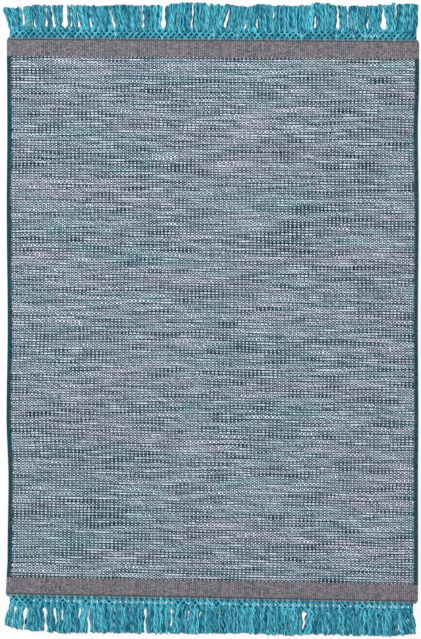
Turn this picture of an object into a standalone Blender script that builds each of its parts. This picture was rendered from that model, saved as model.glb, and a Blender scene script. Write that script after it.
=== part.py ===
"""Flat-woven rug: a mottled field, a plain hem at each end, overcast long edges and a knotted fringe."""

import bisect
import math
import random

import bmesh
import bpy

# Driving dimensions, in metres. X runs across the rug, Y along it, and Z is up from the floor.
RUG_WIDTH = 0.600
CLOTH_LENGTH = 0.8225
FIELD_HEIGHT = 0.0050
HEM_HEIGHT = 0.0036
LIP_HEIGHT = 0.0020
HEM_LENGTH = 0.0300
HEM_EDGE_FALL = 0.0003
LIP_LENGTH = 0.0048
LIP_INSET = 0.0036
STEP = 0.0007
# The ends of the cloth are not square to its sides: the right side lies this much nearer the bottom.
TOP_END_DROP = 0.0038
BOTTOM_END_DROP = 0.0112
CLOTH_SPANS = 12

SELVEDGE_WIDTH = 0.0052
SELVEDGE_HEIGHT = 0.0056
SELVEDGE_ROUNDING = 0.0017
CLEARANCE = 0.0003

# A fringe hangs from loops through the hem. Each loop carries two locks, one under it and one beside it.
LOOPS = 70
LOCKS = 2 * LOOPS
COLUMNS_PER_LOOP = 4
LOCK_CLEARANCE = 0.0004
HEADING_WIDTH = 0.5935
HEADING_LEFT_INSET = 0.0038
LOOP_UNDERSIDE = 0.0023
LOOP_REACH = 0.0046
LOOP_TAPER = 0.72
LOOP_END_TOP = 0.0033
TIP_UNEVENNESS = 0.03
FRINGE_SEED = 7

# Distance from the top of the cloth, and how far each long edge stands in from straight there.
SIDE_WAVES = (
    # distance, left_in, right_in
    (0.000, 0.0010, 0.0004),
    (0.035, 0.0010, 0.0002),
    (0.135, 0.0000, 0.0005),
    (0.250, -0.0008, -0.0004),
    (0.420, 0.0008, -0.0006),
    (0.555, -0.0008, 0.0006),
    (0.645, 0.0015, 0.0000),
    (0.760, 0.0000, -0.0004),
    (0.795, -0.0006, 0.0000),
    (0.8225, -0.0018, 0.0002),
)

# Rows of the cloth from its end towards the field: the lip outside the stitches, the groove, the hem.
END_ROWS = (
    # distance, height, inset of the sides
    (0.0, LIP_HEIGHT - STEP, LIP_INSET),
    (STEP, LIP_HEIGHT, LIP_INSET),
    (LIP_LENGTH - STEP, LIP_HEIGHT, LIP_INSET - STEP),
    (LIP_LENGTH, LIP_HEIGHT - STEP, LIP_INSET - STEP),
    (LIP_LENGTH + STEP, HEM_HEIGHT - HEM_EDGE_FALL, STEP),
    (LIP_LENGTH + 4 * STEP, HEM_HEIGHT, 0.0),
    (HEM_LENGTH, HEM_HEIGHT, 0.0),
    (HEM_LENGTH + STEP, FIELD_HEIGHT, 0.0),
)

# Rows of a fringe outwards from the hem: two rows of crossings in the heading, then the roots of the locks.
HEADING_ROWS = (
    # distance, height under a loop, height between loops
    (0.0, 0.0038, 0.0030),
    (0.0034, 0.0031, 0.0048),
    (0.0068, 0.0048, 0.0032),
    (0.0098, 0.0037, 0.0036),
)
# Heights of the locks halfway and at the tip, under a loop and between loops.
HANGING_ROWS = (
    # share of the free length, height under a loop, height between loops
    (0.5, 0.0034, 0.0027),
    (1.0, 0.0023, 0.0019),
)

# Distance from the left side, and how far the tips reach out from the hem's edge there.
TOP_REACH = (
    # distance, reach
    (0.000, 0.0390),
    (0.020, 0.0400),
    (0.050, 0.0455),
    (0.080, 0.0440),
    (0.140, 0.0445),
    (0.165, 0.0460),
    (0.215, 0.0450),
    (0.255, 0.0490),
    (0.285, 0.0490),
    (0.310, 0.0470),
    (0.340, 0.0440),
    (0.370, 0.0485),
    (0.400, 0.0460),
    (0.430, 0.0465),
    (0.458, 0.0500),
    (0.490, 0.0470),
    (0.516, 0.0465),
    (0.545, 0.0480),
    (0.574, 0.0505),
    (0.600, 0.0490),
)
BOTTOM_REACH = (
    # distance, reach
    (0.000, 0.0385),
    (0.015, 0.0440),
    (0.045, 0.0480),
    (0.075, 0.0500),
    (0.120, 0.0490),
    (0.180, 0.0485),
    (0.260, 0.0475),
    (0.340, 0.0460),
    (0.400, 0.0470),
    (0.460, 0.0455),
    (0.520, 0.0455),
    (0.560, 0.0460),
    (0.590, 0.0430),
    (0.600, 0.0425),
)

# Gaps between the clumps of locks, from the left side. The first and last rows are the outer edges.
TOP_GAPS = (
    # distance at the root, distance at the tip, width halfway, width at the tip
    (0.0038, -0.0066, 0.0, 0.0),
    (0.0257, 0.0222, 0.0010, 0.0030),
    (0.0403, 0.0400, 0.0036, 0.0006),
    (0.0578, 0.0574, 0.0020, 0.0012),
    (0.0710, 0.0665, 0.0040, 0.0018),
    (0.0850, 0.0846, 0.0066, 0.0040),
    (0.0960, 0.0936, 0.0034, 0.0006),
    (0.1070, 0.1020, 0.0036, 0.0006),
    (0.1228, 0.1200, 0.0018, 0.0006),
    (0.1564, 0.1520, 0.0030, 0.0006),
    (0.1991, 0.1985, 0.0026, 0.0010),
    (0.2279, 0.2275, 0.0050, 0.0044),
    (0.2454, 0.2470, 0.0012, 0.0005),
    (0.2690, 0.2690, 0.0012, 0.0006),
    (0.3082, 0.3070, 0.0014, 0.0006),
    (0.3215, 0.3180, 0.0040, 0.0030),
    (0.3469, 0.3480, 0.0014, 0.0006),
    (0.3885, 0.3880, 0.0014, 0.0008),
    (0.4500, 0.4490, 0.0016, 0.0006),
    (0.4827, 0.4820, 0.0034, 0.0016),
    (0.5078, 0.5080, 0.0014, 0.0006),
    (0.5257, 0.5260, 0.0012, 0.0006),
    (0.5491, 0.5485, 0.0070, 0.0008),
    (0.5680, 0.5675, 0.0008, 0.0030),
    (0.5973, 0.5995, 0.0, 0.0),
)
BOTTOM_GAPS = (
    # distance at the root, distance at the tip, width halfway, width at the tip
    (0.0038, -0.0045, 0.0, 0.0),
    (0.0130, 0.0060, 0.0016, 0.0006),
    (0.0275, 0.0235, 0.0044, 0.0010),
    (0.0535, 0.0560, 0.0030, 0.0050),
    (0.0700, 0.0705, 0.0034, 0.0010),
    (0.0805, 0.0800, 0.0016, 0.0006),
    (0.1062, 0.1050, 0.0024, 0.0006),
    (0.1185, 0.1190, 0.0008, 0.0050),
    (0.1560, 0.1560, 0.0010, 0.0006),
    (0.2010, 0.2010, 0.0012, 0.0030),
    (0.2396, 0.2385, 0.0040, 0.0006),
    (0.2645, 0.2640, 0.0018, 0.0006),
    (0.2815, 0.2810, 0.0018, 0.0006),
    (0.3150, 0.3150, 0.0012, 0.0006),
    (0.3700, 0.3700, 0.0008, 0.0005),
    (0.4240, 0.4245, 0.0012, 0.0005),
    (0.4330, 0.4320, 0.0066, 0.0014),
    (0.4830, 0.4830, 0.0008, 0.0005),
    (0.5325, 0.5325, 0.0014, 0.0008),
    (0.5700, 0.5710, 0.0006, 0.0020),
    (0.5973, 0.5940, 0.0, 0.0),
)

FIELD_COLOUR = "#808E9B"
HEM_COLOUR = "#79777E"
SELVEDGE_COLOUR = "#2C505B"
FRINGE_COLOUR = "#43909F"


def linear(colour):
    """The linear colour of an sRGB hex value."""
    channels = [int(colour[start : start + 2], 16) / 255 for start in (1, 3, 5)]
    return [c / 12.92 if c <= 0.04045 else ((c + 0.055) / 1.055) ** 2.4 for c in channels]


def yarn_material(name, colour, roughness):
    """A dull yarn with no metal in it."""
    material = bpy.data.materials.new(name)
    material.use_nodes = True
    shader = material.node_tree.nodes["Principled BSDF"]
    shader.inputs["Base Color"].default_value = (*linear(colour), 1.0)
    shader.inputs["Roughness"].default_value = roughness
    shader.inputs["Metallic"].default_value = 0.0
    return material


def read_table(table, column, distance):
    """The value in a table's column at a distance, with a smooth run from each row to the next."""
    distances = [row[0] for row in table]
    after = min(max(bisect.bisect_right(distances, distance), 1), len(table) - 1)
    start = table[after - 1]
    end = table[after]
    share = min(max((distance - start[0]) / (end[0] - start[0]), 0.0), 1.0)
    eased = share * share * (3 - 2 * share)
    return start[column] + (end[column] - start[column]) * eased


def end_line(is_top, x):
    """Y of the cloth's end at this X."""
    drop = TOP_END_DROP if is_top else BOTTOM_END_DROP
    middle = CLOTH_LENGTH / 2 if is_top else -CLOTH_LENGTH / 2
    return middle - drop * x / RUG_WIDTH


def side_line(is_right, y):
    """X of the rug's long edge at this Y."""
    distance = CLOTH_LENGTH / 2 - y
    if is_right:
        return RUG_WIDTH / 2 - read_table(SIDE_WAVES, 2, distance)
    return -RUG_WIDTH / 2 + read_table(SIDE_WAVES, 1, distance)


def plan_grid(columns, rows, place):
    """A flat grid of faces with its points at place(column, row), and both numbers kept on each point."""
    bm = bmesh.new()
    column_of = bm.verts.layers.int.new("column")
    row_of = bm.verts.layers.int.new("row")
    bmesh.ops.create_grid(bm, x_segments=columns, y_segments=rows, size=0.5)
    for point in bm.verts:
        point[column_of] = round((point.co.x + 0.5) * columns)
        point[row_of] = round((point.co.y + 0.5) * rows)
    for point in bm.verts:
        x, y = place(point[column_of], point[row_of])
        point.co = (x, y, 0.0)
    return bm, column_of, row_of


def thicken(bm, height):
    """Keeps the flat plan as the underside, and lifts a copy of it to height(point) as the top."""
    lifted = bmesh.ops.extrude_face_region(bm, geom=bm.faces[:], use_keep_orig=True)
    for item in lifted["geom"]:
        if isinstance(item, bmesh.types.BMVert):
            item.co.z = height(item)
    bmesh.ops.recalc_face_normals(bm, faces=bm.faces[:])


def add_object(name, bm, materials, collection):
    """Makes the finished mesh an object of the rug, smooth over its gentle edges."""
    mesh = bpy.data.meshes.new(name)
    bm.to_mesh(mesh)
    bm.free()
    for material in materials:
        mesh.materials.append(material)
    mesh.shade_smooth()
    mesh.set_sharp_from_angle(angle=math.radians(35))
    rug_piece = bpy.data.objects.new(name, mesh)
    collection.objects.link(rug_piece)
    return rug_piece


def add_cloth(collection):
    """The cloth in one piece, with the hems as wide as the rug and the field between the selvedges."""
    field_start = END_ROWS[-1][0]
    rows = [("top", *row) for row in END_ROWS]
    for span in range(1, CLOTH_SPANS):
        rows.append(("field", span / CLOTH_SPANS, FIELD_HEIGHT, 0.0))
    rows += [("bottom", *row) for row in reversed(END_ROWS)]
    last_column = 3

    def place(column, row):
        region, distance, _, inset = rows[row]
        is_right = column > 1
        x_side = RUG_WIDTH / 2 if is_right else -RUG_WIDTH / 2
        if region == "top":
            y = end_line(True, x_side) - distance
        elif region == "bottom":
            y = end_line(False, x_side) + distance
        else:
            first = end_line(True, x_side) - field_start
            last = end_line(False, x_side) + field_start
            y = first + (last - first) * distance
        inwards = -1 if is_right else 1
        x = side_line(is_right, y) + inwards * inset
        if column in (1, 2):
            x = side_line(is_right, y) + inwards * (SELVEDGE_WIDTH + CLEARANCE)
        return x, y

    bm, column_of, row_of = plan_grid(last_column, len(rows) - 1, place)
    first_field_row = len(END_ROWS) - 2
    last_field_row = len(rows) - 1 - first_field_row
    beside_field = []
    for face in bm.faces:
        columns = {point[column_of] for point in face.verts}
        face_rows = {point[row_of] for point in face.verts}
        is_outer = columns in ({0, 1}, {2, last_column})
        if is_outer and min(face_rows) >= first_field_row and max(face_rows) <= last_field_row:
            beside_field.append(face)
    bmesh.ops.delete(bm, geom=beside_field, context="FACES")
    thicken(bm, lambda point: rows[point[row_of]][2])
    for face in bm.faces:
        face_rows = [point[row_of] for point in face.verts]
        in_field = min(face_rows) >= first_field_row and max(face_rows) <= last_field_row
        face.material_index = 0 if in_field else 1
    materials = [
        yarn_material("woven cotton field", FIELD_COLOUR, 0.92),
        yarn_material("woven cotton hem", HEM_COLOUR, 0.95),
    ]
    return add_object("woven_cloth", bm, materials, collection)


def add_selvedge(name, is_right, material, collection):
    """The overcast edge cord between the two hems, flat where it lies on the floor."""
    x_side = RUG_WIDTH / 2 if is_right else -RUG_WIDTH / 2
    first = end_line(True, x_side) - HEM_LENGTH - CLEARANCE
    last = end_line(False, x_side) + HEM_LENGTH + CLEARANCE
    inwards = -1 if is_right else 1

    def place(column, row):
        y = first + (last - first) * row / CLOTH_SPANS
        return side_line(is_right, y) + inwards * column * SELVEDGE_WIDTH, y

    bm, _, _ = plan_grid(1, CLOTH_SPANS, place)
    thicken(bm, lambda point: SELVEDGE_HEIGHT)
    top_edges = []
    for edge in bm.edges:
        is_high = all(point.co.z > 0 for point in edge.verts)
        if is_high and edge.calc_face_angle() > math.radians(60):
            top_edges.append(edge)
    bmesh.ops.bevel(
        bm,
        geom=top_edges,
        affect="EDGES",
        offset=SELVEDGE_ROUNDING,
        segments=2,
        profile=0.5,
        material=-1,
    )
    return add_object(name, bm, [material], collection)


def lock_edges(gaps, level):
    """Distance from the left side of both edges of each lock, at level 1, halfway along it, or 2, its tip."""
    pitch = HEADING_WIDTH / LOCKS
    limits = []
    for at_root, at_tip, *widths in gaps:
        centre = at_root + (at_tip - at_root) * level / len(widths)
        width = max(widths[level - 1], LOCK_CLEARANCE)
        first_lock = round((at_root - HEADING_LEFT_INSET) / pitch)
        limits.append((first_lock, centre, width))
    edges = []
    for (first, left, left_width), (after, right, right_width) in zip(limits, limits[1:]):
        low = left + left_width / 2
        step = (right - right_width / 2 - low + LOCK_CLEARANCE) / (after - first)
        for number in range(after - first):
            edges.append((low + number * step, low + (number + 1) * step - LOCK_CLEARANCE))
    return edges


def add_fringe(name, is_top, gaps, reach, material, collection):
    """A knotted heading with a loop over the lip for each pair of locks, which lie out on the floor."""
    draw = random.Random(FRINGE_SEED + is_top)
    outwards = 1 if is_top else -1
    pitch = HEADING_WIDTH / LOCKS
    left = -RUG_WIDTH / 2 + HEADING_LEFT_INSET
    root_row = len(HEADING_ROWS) - 1
    heading_depth = HEADING_ROWS[root_row][0]
    halfway_edges = lock_edges(gaps, 1)
    tip_edges = lock_edges(gaps, 2)
    tip_shares = [1 + draw.uniform(-TIP_UNEVENNESS, TIP_UNEVENNESS) for _ in range(LOCKS)]

    def hanging_x(lock, is_lock_right, share):
        """X of a lock's edge beyond halfway, on one straight line however far the lock reaches."""
        halfway = halfway_edges[lock][is_lock_right]
        tip = tip_edges[lock][is_lock_right]
        return halfway + (tip - halfway) * (share - 0.5) / 0.5 - RUG_WIDTH / 2

    def place(column, row):
        lock, is_lock_right = divmod(column, 2)
        root_x = left + lock * pitch + LOCK_CLEARANCE / 2 + is_lock_right * (pitch - LOCK_CLEARANCE)
        start_y = end_line(is_top, root_x) + outwards * CLEARANCE
        if row <= root_row:
            return root_x, start_y + outwards * HEADING_ROWS[row][0]
        share = HANGING_ROWS[row - root_row - 1][0]
        if row == root_row + len(HANGING_ROWS):
            share = tip_shares[lock]
        middle_x = left + (lock + 0.5) * pitch
        free_length = read_table(reach, 1, middle_x + RUG_WIDTH / 2) - heading_depth
        middle_y = end_line(is_top, middle_x) + outwards * CLEARANCE
        y = middle_y + outwards * (heading_depth + free_length * share)
        return hanging_x(lock, is_lock_right, share), y

    heights = [row[1:] for row in HEADING_ROWS + HANGING_ROWS]
    bm, column_of, row_of = plan_grid(2 * LOCKS - 1, len(heights) - 1, place)
    between_locks = []
    for face in bm.faces:
        is_gap = min(point[column_of] for point in face.verts) % 2 == 1
        if is_gap and min(point[row_of] for point in face.verts) >= root_row:
            between_locks.append(face)
    bmesh.ops.delete(bm, geom=between_locks, context="FACES")
    thicken(bm, lambda point: heights[point[row_of]][point[column_of] // 2 % 2])
    add_loops(bm, column_of, row_of, outwards)
    inner_floor = [
        point for point in bm.verts if point.co.z == 0 and 0 < point[row_of] < root_row
    ]
    bmesh.ops.dissolve_verts(bm, verts=inner_floor)
    bmesh.ops.recalc_face_normals(bm, faces=bm.faces[:])
    return add_object(name, bm, [material], collection)


def add_loops(bm, column_of, row_of, outwards):
    """Draws a tongue out of the heading's inner wall for each loop, just clear of the lip that it crosses."""
    uprights = []
    for edge in bm.edges:
        is_inner = all(point[row_of] == 0 for point in edge.verts)
        if is_inner and abs(edge.verts[0].co.z - edge.verts[1].co.z) > LOOP_UNDERSIDE / 2:
            uprights.append(edge)
    split = bmesh.ops.subdivide_edges(bm, edges=uprights, cuts=1, use_grid_fill=True)
    for item in split["geom_inner"]:
        if isinstance(item, bmesh.types.BMVert):
            item.co.z = LOOP_UNDERSIDE
    roots = []
    for face in bm.faces:
        is_upper = min(point.co.z for point in face.verts) >= LOOP_UNDERSIDE - 1e-5
        is_inner = abs(face.normal.z) < 0.1 and face.normal.y * outwards < -0.5
        columns = {point[column_of] for point in face.verts}
        if is_upper and is_inner and all(point[row_of] == 0 for point in face.verts):
            if min(columns) % COLUMNS_PER_LOOP == 0 and len(columns) == 2:
                roots.append(face)
    tongues = bmesh.ops.extrude_discrete_faces(bm, faces=roots)["faces"]
    for face in tongues:
        middle = face.calc_center_median()
        for point in face.verts:
            point.co.x = middle.x + (point.co.x - middle.x) * LOOP_TAPER
            point.co.y -= outwards * LOOP_REACH
            point.co.z = min(point.co.z, LOOP_END_TOP)


def centre_on_floor(rug_pieces):
    """Puts the middle of the whole rug over the origin."""
    points = [point.co for piece in rug_pieces for point in piece.data.vertices]
    middle_x = (min(p.x for p in points) + max(p.x for p in points)) / 2
    middle_y = (min(p.y for p in points) + max(p.y for p in points)) / 2
    for point in points:
        point.x -= middle_x
        point.y -= middle_y


def build():
    for old in list(bpy.data.objects):
        bpy.data.objects.remove(old)
    rug = bpy.data.collections.new("flat_woven_rug")
    bpy.context.scene.collection.children.link(rug)
    edge_yarn = yarn_material("overcast edge yarn", SELVEDGE_COLOUR, 0.95)
    fringe_yarn = yarn_material("twisted fringe cord", FRINGE_COLOUR, 0.9)
    rug_pieces = [
        add_cloth(rug),
        add_selvedge("selvedge_left", False, edge_yarn, rug),
        add_selvedge("selvedge_right", True, edge_yarn, rug),
        add_fringe("fringe_top", True, TOP_GAPS, TOP_REACH, fringe_yarn, rug),
        add_fringe("fringe_bottom", False, BOTTOM_GAPS, BOTTOM_REACH, fringe_yarn, rug),
    ]
    centre_on_floor(rug_pieces)


build()
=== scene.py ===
"""Flat-woven rug laid out on a white table: mottled field, plain hems, overcast edges, knotted fringes."""

import bisect
import math
import random

import bmesh
import bpy
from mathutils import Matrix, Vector, noise


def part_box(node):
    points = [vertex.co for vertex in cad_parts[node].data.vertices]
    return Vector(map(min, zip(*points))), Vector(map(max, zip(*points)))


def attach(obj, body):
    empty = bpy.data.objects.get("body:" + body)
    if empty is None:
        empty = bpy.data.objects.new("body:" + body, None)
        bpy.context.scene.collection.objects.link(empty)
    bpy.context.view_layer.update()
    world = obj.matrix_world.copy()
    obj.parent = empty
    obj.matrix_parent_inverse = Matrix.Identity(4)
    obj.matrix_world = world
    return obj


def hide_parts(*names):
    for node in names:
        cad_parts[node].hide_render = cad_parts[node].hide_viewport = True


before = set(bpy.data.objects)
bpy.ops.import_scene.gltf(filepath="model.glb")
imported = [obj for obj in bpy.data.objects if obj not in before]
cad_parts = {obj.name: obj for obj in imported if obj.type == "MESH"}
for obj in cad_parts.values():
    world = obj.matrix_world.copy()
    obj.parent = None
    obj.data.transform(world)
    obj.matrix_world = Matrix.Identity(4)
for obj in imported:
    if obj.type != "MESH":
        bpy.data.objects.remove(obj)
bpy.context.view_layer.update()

# Camera: straight above the middle of the rug, with a long lens, so that the rug's sides stay parallel.
# The picture is 639 pixels high, and each pixel takes in 1.46 mm of the rug.
PICTURE_HEIGHT = 639
PIXEL = 0.00146
VIEW_MIDDLE = (-0.0004, -0.0007)
CAMERA_HEIGHT = 4.0
SENSOR = 36.0

camera_data = bpy.data.cameras.new("camera")
camera_data.sensor_width = SENSOR
camera_data.lens = SENSOR * CAMERA_HEIGHT / (PICTURE_HEIGHT * PIXEL)
camera_data.clip_end = 30.0
camera = bpy.data.objects.new("camera", camera_data)
camera.location = (*VIEW_MIDDLE, CAMERA_HEIGHT)
bpy.context.scene.collection.objects.link(camera)
bpy.context.scene.camera = camera
bpy.context.scene.view_settings.view_transform = "Standard"

# Floor and light: a white table, a soft lamp high overhead, and weak even light from all round. The
# table glows a little, so it stays white in the fringe's gaps while the yarns' sides are in shade.
FLOOR_SIZE = 12.0
FLOOR_DROP = 0.0002
FLOOR_GLOW = 0.27
LAMP_SIZE = 1.3
LAMP_PLACE = (-0.9, 1.2, 4.6)
LAMP_POWER = 190.0
ROOM_LIGHT = 0.28


def linear(colour):
    """The linear colour of an sRGB hex value, with full alpha."""
    channels = [int(colour[start : start + 2], 16) / 255 for start in (1, 3, 5)]
    return (*(c / 12.92 if c <= 0.04045 else ((c + 0.055) / 1.055) ** 2.4 for c in channels), 1.0)


def add_node(tree, kind, inputs=(), output=0, **settings):
    """Adds a node, with values or other nodes' outputs in its inputs, and returns one of its outputs.

    Inputs 1 to 4 of a Map Range are the range it reads and the range it gives. Inputs 6 and 7 of a Mix,
    and its output 2, are colours.
    """
    node = tree.nodes.new(kind)
    for name, value in settings.items():
        setattr(node, name, value)
    for socket, source in dict(inputs).items():
        if isinstance(source, bpy.types.NodeSocket):
            tree.links.new(source, node.inputs[socket])
        else:
            node.inputs[socket].default_value = source
    return node.outputs[output]


def start_material(name, roughness, **values):
    """A Principled material with its plain values set. Returns it, its node tree and its shader."""
    material = bpy.data.materials.new(name)
    material.use_nodes = True
    shader = material.node_tree.nodes["Principled BSDF"]
    shader.inputs["Roughness"].default_value = roughness
    for socket, value in values.items():
        shader.inputs[socket.replace("_", " ")].default_value = value
    return material, material.node_tree, shader


def finish_mesh(name, bm, material, sharp_angle):
    """Turns a closed bmesh into an object at the origin, smooth up to the sharp angle."""
    bmesh.ops.recalc_face_normals(bm, faces=bm.faces[:])
    mesh = bpy.data.meshes.new(name)
    bm.to_mesh(mesh)
    bm.free()
    mesh.materials.append(material)
    mesh.shade_smooth()
    mesh.set_sharp_from_angle(angle=math.radians(sharp_angle))
    piece = bpy.data.objects.new(name, mesh)
    bpy.context.scene.collection.objects.link(piece)
    return piece


# Painted board, white and matt, with no grain that shows.
paint, *_ = start_material(
    "white painted table top",
    0.9,
    Specular_IOR_Level=0.1,
    Base_Color=linear("#DCDDDC"),
    Emission_Color=linear("#FCFDFC"),
    Emission_Strength=FLOOR_GLOW,
)
floor_bm = bmesh.new()
bmesh.ops.create_grid(floor_bm, x_segments=1, y_segments=1, size=FLOOR_SIZE / 2)
bmesh.ops.translate(floor_bm, vec=(0, 0, -FLOOR_DROP), verts=floor_bm.verts[:])
floor = finish_mesh("floor", floor_bm, paint, 30)

room = bpy.data.worlds.new("soft room light")
room.use_nodes = True
room.node_tree.nodes["Background"].inputs["Color"].default_value = (1.0, 1.0, 1.0, 1.0)
room.node_tree.nodes["Background"].inputs["Strength"].default_value = ROOM_LIGHT
bpy.context.scene.world = room
lamp_data = bpy.data.lights.new("soft lamp", "AREA")
lamp_data.size = LAMP_SIZE
lamp_data.energy = LAMP_POWER
lamp = bpy.data.objects.new("soft lamp", lamp_data)
lamp.location = LAMP_PLACE
lamp.rotation_euler = (-Vector(LAMP_PLACE)).to_track_quat("-Z", "Y").to_euler()
bpy.context.scene.collection.objects.link(lamp)

# Field: a plain weave of cotton, 209 warps by 405 picks, in which white picks and picks of space-dyed
# dark teal, blue and grey yarn take turns. White shows as dots over every other warp.
RUG_WIDTH = 0.600
CLOTH_LENGTH = 0.8225
FIELD_HEIGHT = 0.0050
HEM_LENGTH = 0.0300
TOP_END_DROP = 0.0038
BOTTOM_END_DROP = 0.0112
SELVEDGE_WIDTH = 0.0052
FIELD_TUCK = 0.0003
SIDE_WAVES = (
    # distance from the top, left_in, right_in
    (0.000, -0.0006, -0.0012),
    (0.035, -0.0003, -0.0009),
    (0.060, 0.0000, -0.0009),
    (0.135, 0.0002, 0.0008),
    (0.250, -0.0006, -0.0004),
    (0.420, 0.0008, 0.0008),
    (0.555, -0.0008, 0.0002),
    (0.645, 0.0020, 0.0007),
    (0.760, 0.0006, 0.0006),
    (0.795, -0.0010, 0.0006),
    (0.8225, -0.0030, 0.0008),
)
WARPS = 208
PICKS = 404
WEAVE_RELIEF = 0.00040
FLOAT_UNEVENNESS = 0.00014
# How far the yarns stray, in yarns: in slow bends over tens of yarns, in short bends of one yarn, and
# from one crossing to the next. At the edges they keep their places.
SLOW_STRAY = 0.9
SLOW_YARNS = 26
SLOW_LENGTH = 0.11
QUICK_STRAY = 0.28
QUICK_LENGTH = 0.020
JITTER = 0.12
FADE_YARNS = 9
# So far across the noise from one yarn to the next that neighbours have nothing in common.
PICK_STEP = 7.31
WARP_STEP = 5.17

cloth_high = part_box("woven_cloth")[1]
MIDDLE_X = cloth_high[0] - RUG_WIDTH / 2
MIDDLE_Y = cloth_high[1] - (CLOTH_LENGTH + TOP_END_DROP) / 2


def read_table(table, column, distance):
    """The value in a table's column at a distance, with a smooth run from each row to the next."""
    distances = [row[0] for row in table]
    after = min(max(bisect.bisect_right(distances, distance), 1), len(table) - 1)
    start = table[after - 1]
    end = table[after]
    share = min(max((distance - start[0]) / (end[0] - start[0]), 0.0), 1.0)
    eased = share * share * (3 - 2 * share)
    return start[column] + (end[column] - start[column]) * eased


def end_line(is_top, x):
    """Y of the cloth's end at this X, from the middle of the cloth."""
    drop = TOP_END_DROP if is_top else BOTTOM_END_DROP
    middle = CLOTH_LENGTH / 2 if is_top else -CLOTH_LENGTH / 2
    return middle - drop * x / RUG_WIDTH


def side_line(is_right, y):
    """X of the rug's long edge at this Y, from the middle of the cloth."""
    distance = CLOTH_LENGTH / 2 - y
    if is_right:
        return RUG_WIDTH / 2 - read_table(SIDE_WAVES, 2, distance)
    return -RUG_WIDTH / 2 + read_table(SIDE_WAVES, 1, distance)


def numbered_grid(columns, rows):
    """A flat grid of faces that keeps each point's column and row, and maps them to the unit square."""
    bm = bmesh.new()
    bmesh.ops.create_grid(bm, x_segments=columns, y_segments=rows, size=0.5)
    column_of = bm.verts.layers.int.new("column")
    row_of = bm.verts.layers.int.new("row")
    uv = bm.loops.layers.uv.new("OFBake")
    for point in bm.verts:
        point[column_of] = round((point.co.x + 0.5) * columns)
        point[row_of] = round((point.co.y + 0.5) * rows)
    for face in bm.faces:
        for corner in face.loops:
            corner[uv].uv = (corner.vert.co.x + 0.5, corner.vert.co.y + 0.5)
    return bm, column_of, row_of


def close_below(bm):
    """Drops a wall from the rim of a sheet to the floor and closes it with a flat underside."""
    uv = bm.loops.layers.uv.active
    rim = [edge for edge in bm.edges if edge.is_boundary]
    at_rim = {}
    for edge in rim:
        for corner in edge.link_loops[0].face.loops:
            at_rim[corner.vert] = corner[uv].uv.copy()
    walls = bmesh.ops.extrude_edge_only(bm, edges=rim)["geom"]
    for item in walls:
        if isinstance(item, bmesh.types.BMVert):
            above = next(e.other_vert(item) for e in item.link_edges if e.other_vert(item) in at_rim)
            at_rim[item] = at_rim[above]
            item.co.z = 0.0
    foot = [e for e in walls if isinstance(e, bmesh.types.BMEdge)]
    sole = bmesh.ops.contextual_create(bm, geom=foot)["faces"]
    for face in sole + [f for f in walls if isinstance(f, bmesh.types.BMFace)]:
        for corner in face.loops:
            corner[uv].uv = at_rim[corner.vert]


field_bm, column_of, row_of = numbered_grid(WARPS, PICKS)
draw = random.Random(3)
for point in field_bm.verts:
    warp = point[column_of]
    pick = point[row_of]
    fade = min(warp, WARPS - warp, pick, PICKS - pick, FADE_YARNS) / FADE_YARNS
    across = warp / WARPS
    along = pick / PICKS
    # The last number of each place keeps the four noises apart.
    slow = noise.noise(Vector((across * RUG_WIDTH / SLOW_LENGTH, pick / SLOW_YARNS, 3.7)))
    bend = noise.noise(Vector((warp / SLOW_YARNS, along * CLOTH_LENGTH / SLOW_LENGTH, 8.2)))
    wander = noise.noise(Vector((across * RUG_WIDTH / QUICK_LENGTH, pick * PICK_STEP, 0.5)))
    sway = noise.noise(Vector((warp * WARP_STEP, along * CLOTH_LENGTH / QUICK_LENGTH, 1.5)))
    sway += draw.uniform(-JITTER, JITTER) / QUICK_STRAY
    wander += draw.uniform(-JITTER, JITTER) / QUICK_STRAY
    across += fade * (SLOW_STRAY * bend + QUICK_STRAY * sway) / WARPS
    along += fade * (SLOW_STRAY * slow + QUICK_STRAY * wander) / PICKS
    x_guess = RUG_WIDTH * (across - 0.5)
    top = end_line(True, x_guess) - HEM_LENGTH
    bottom = end_line(False, x_guess) + HEM_LENGTH
    y = bottom + (top - bottom) * along
    left = side_line(False, y) + SELVEDGE_WIDTH - FIELD_TUCK
    right = side_line(True, y) - SELVEDGE_WIDTH + FIELD_TUCK
    x = left + (right - left) * across
    is_raised = (warp + pick) % 2 == 0
    z = FIELD_HEIGHT + (WEAVE_RELIEF if is_raised else -WEAVE_RELIEF)
    z += draw.uniform(-FLOAT_UNEVENNESS, FLOAT_UNEVENNESS)
    point.co = (MIDDLE_X + x, MIDDLE_Y + y, z)
close_below(field_bm)

# Cotton yarn, spun soft and plain woven: matt, with a slight nap. Painted shade lies in the hole beside
# each white dot, and on the dyed yarn round it.
WARP_PAIRS = WARPS / 2
PICK_PAIRS = PICKS / 2
# Lengths along the yarn, in warp pairs of 5.7 mm: a dye's change, a slack stretch, a tint's run. A tint
# also spreads over several picks, counted in pairs of 4 mm.
DYE_RUN = 15.0
SLACK_RUN = 6.0
TINT_RUN = 40.0
TINT_PICKS = 10.0
# Each pick's noise also starts this much further along than its neighbour's.
PICK_SHIFT = 5.37
# The part of the dye's noise from darkest to lightest, and how much of a slower noise is added to it.
DYE_RANGE = (0.345, 0.895)
DYE_BAND = 0.16
DYE_COLOURS = (
    # share of the dye's run, colour
    (0.00, "#183643"),
    (0.30, "#4A5F6C"),
    (0.65, "#97A3AE"),
    (1.00, "#DCDEE6"),
)
# What the yarn's red, green and blue are multiplied by where it is tinted, and how much on a white dot.
TEAL_TINT = (0.76, 1.00, 0.99, 1.0)
ROSY_TINT = (1.12, 0.97, 1.02, 1.0)
DOT_TINT = 0.4
# Each dyed float's own brightness, and the painted shade and highlight from its rim to its middle.
FLOAT_LIGHT = (0.60, 1.44)
FLOAT_PAINTED_ROUNDING = (0.66, 1.62)
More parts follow.
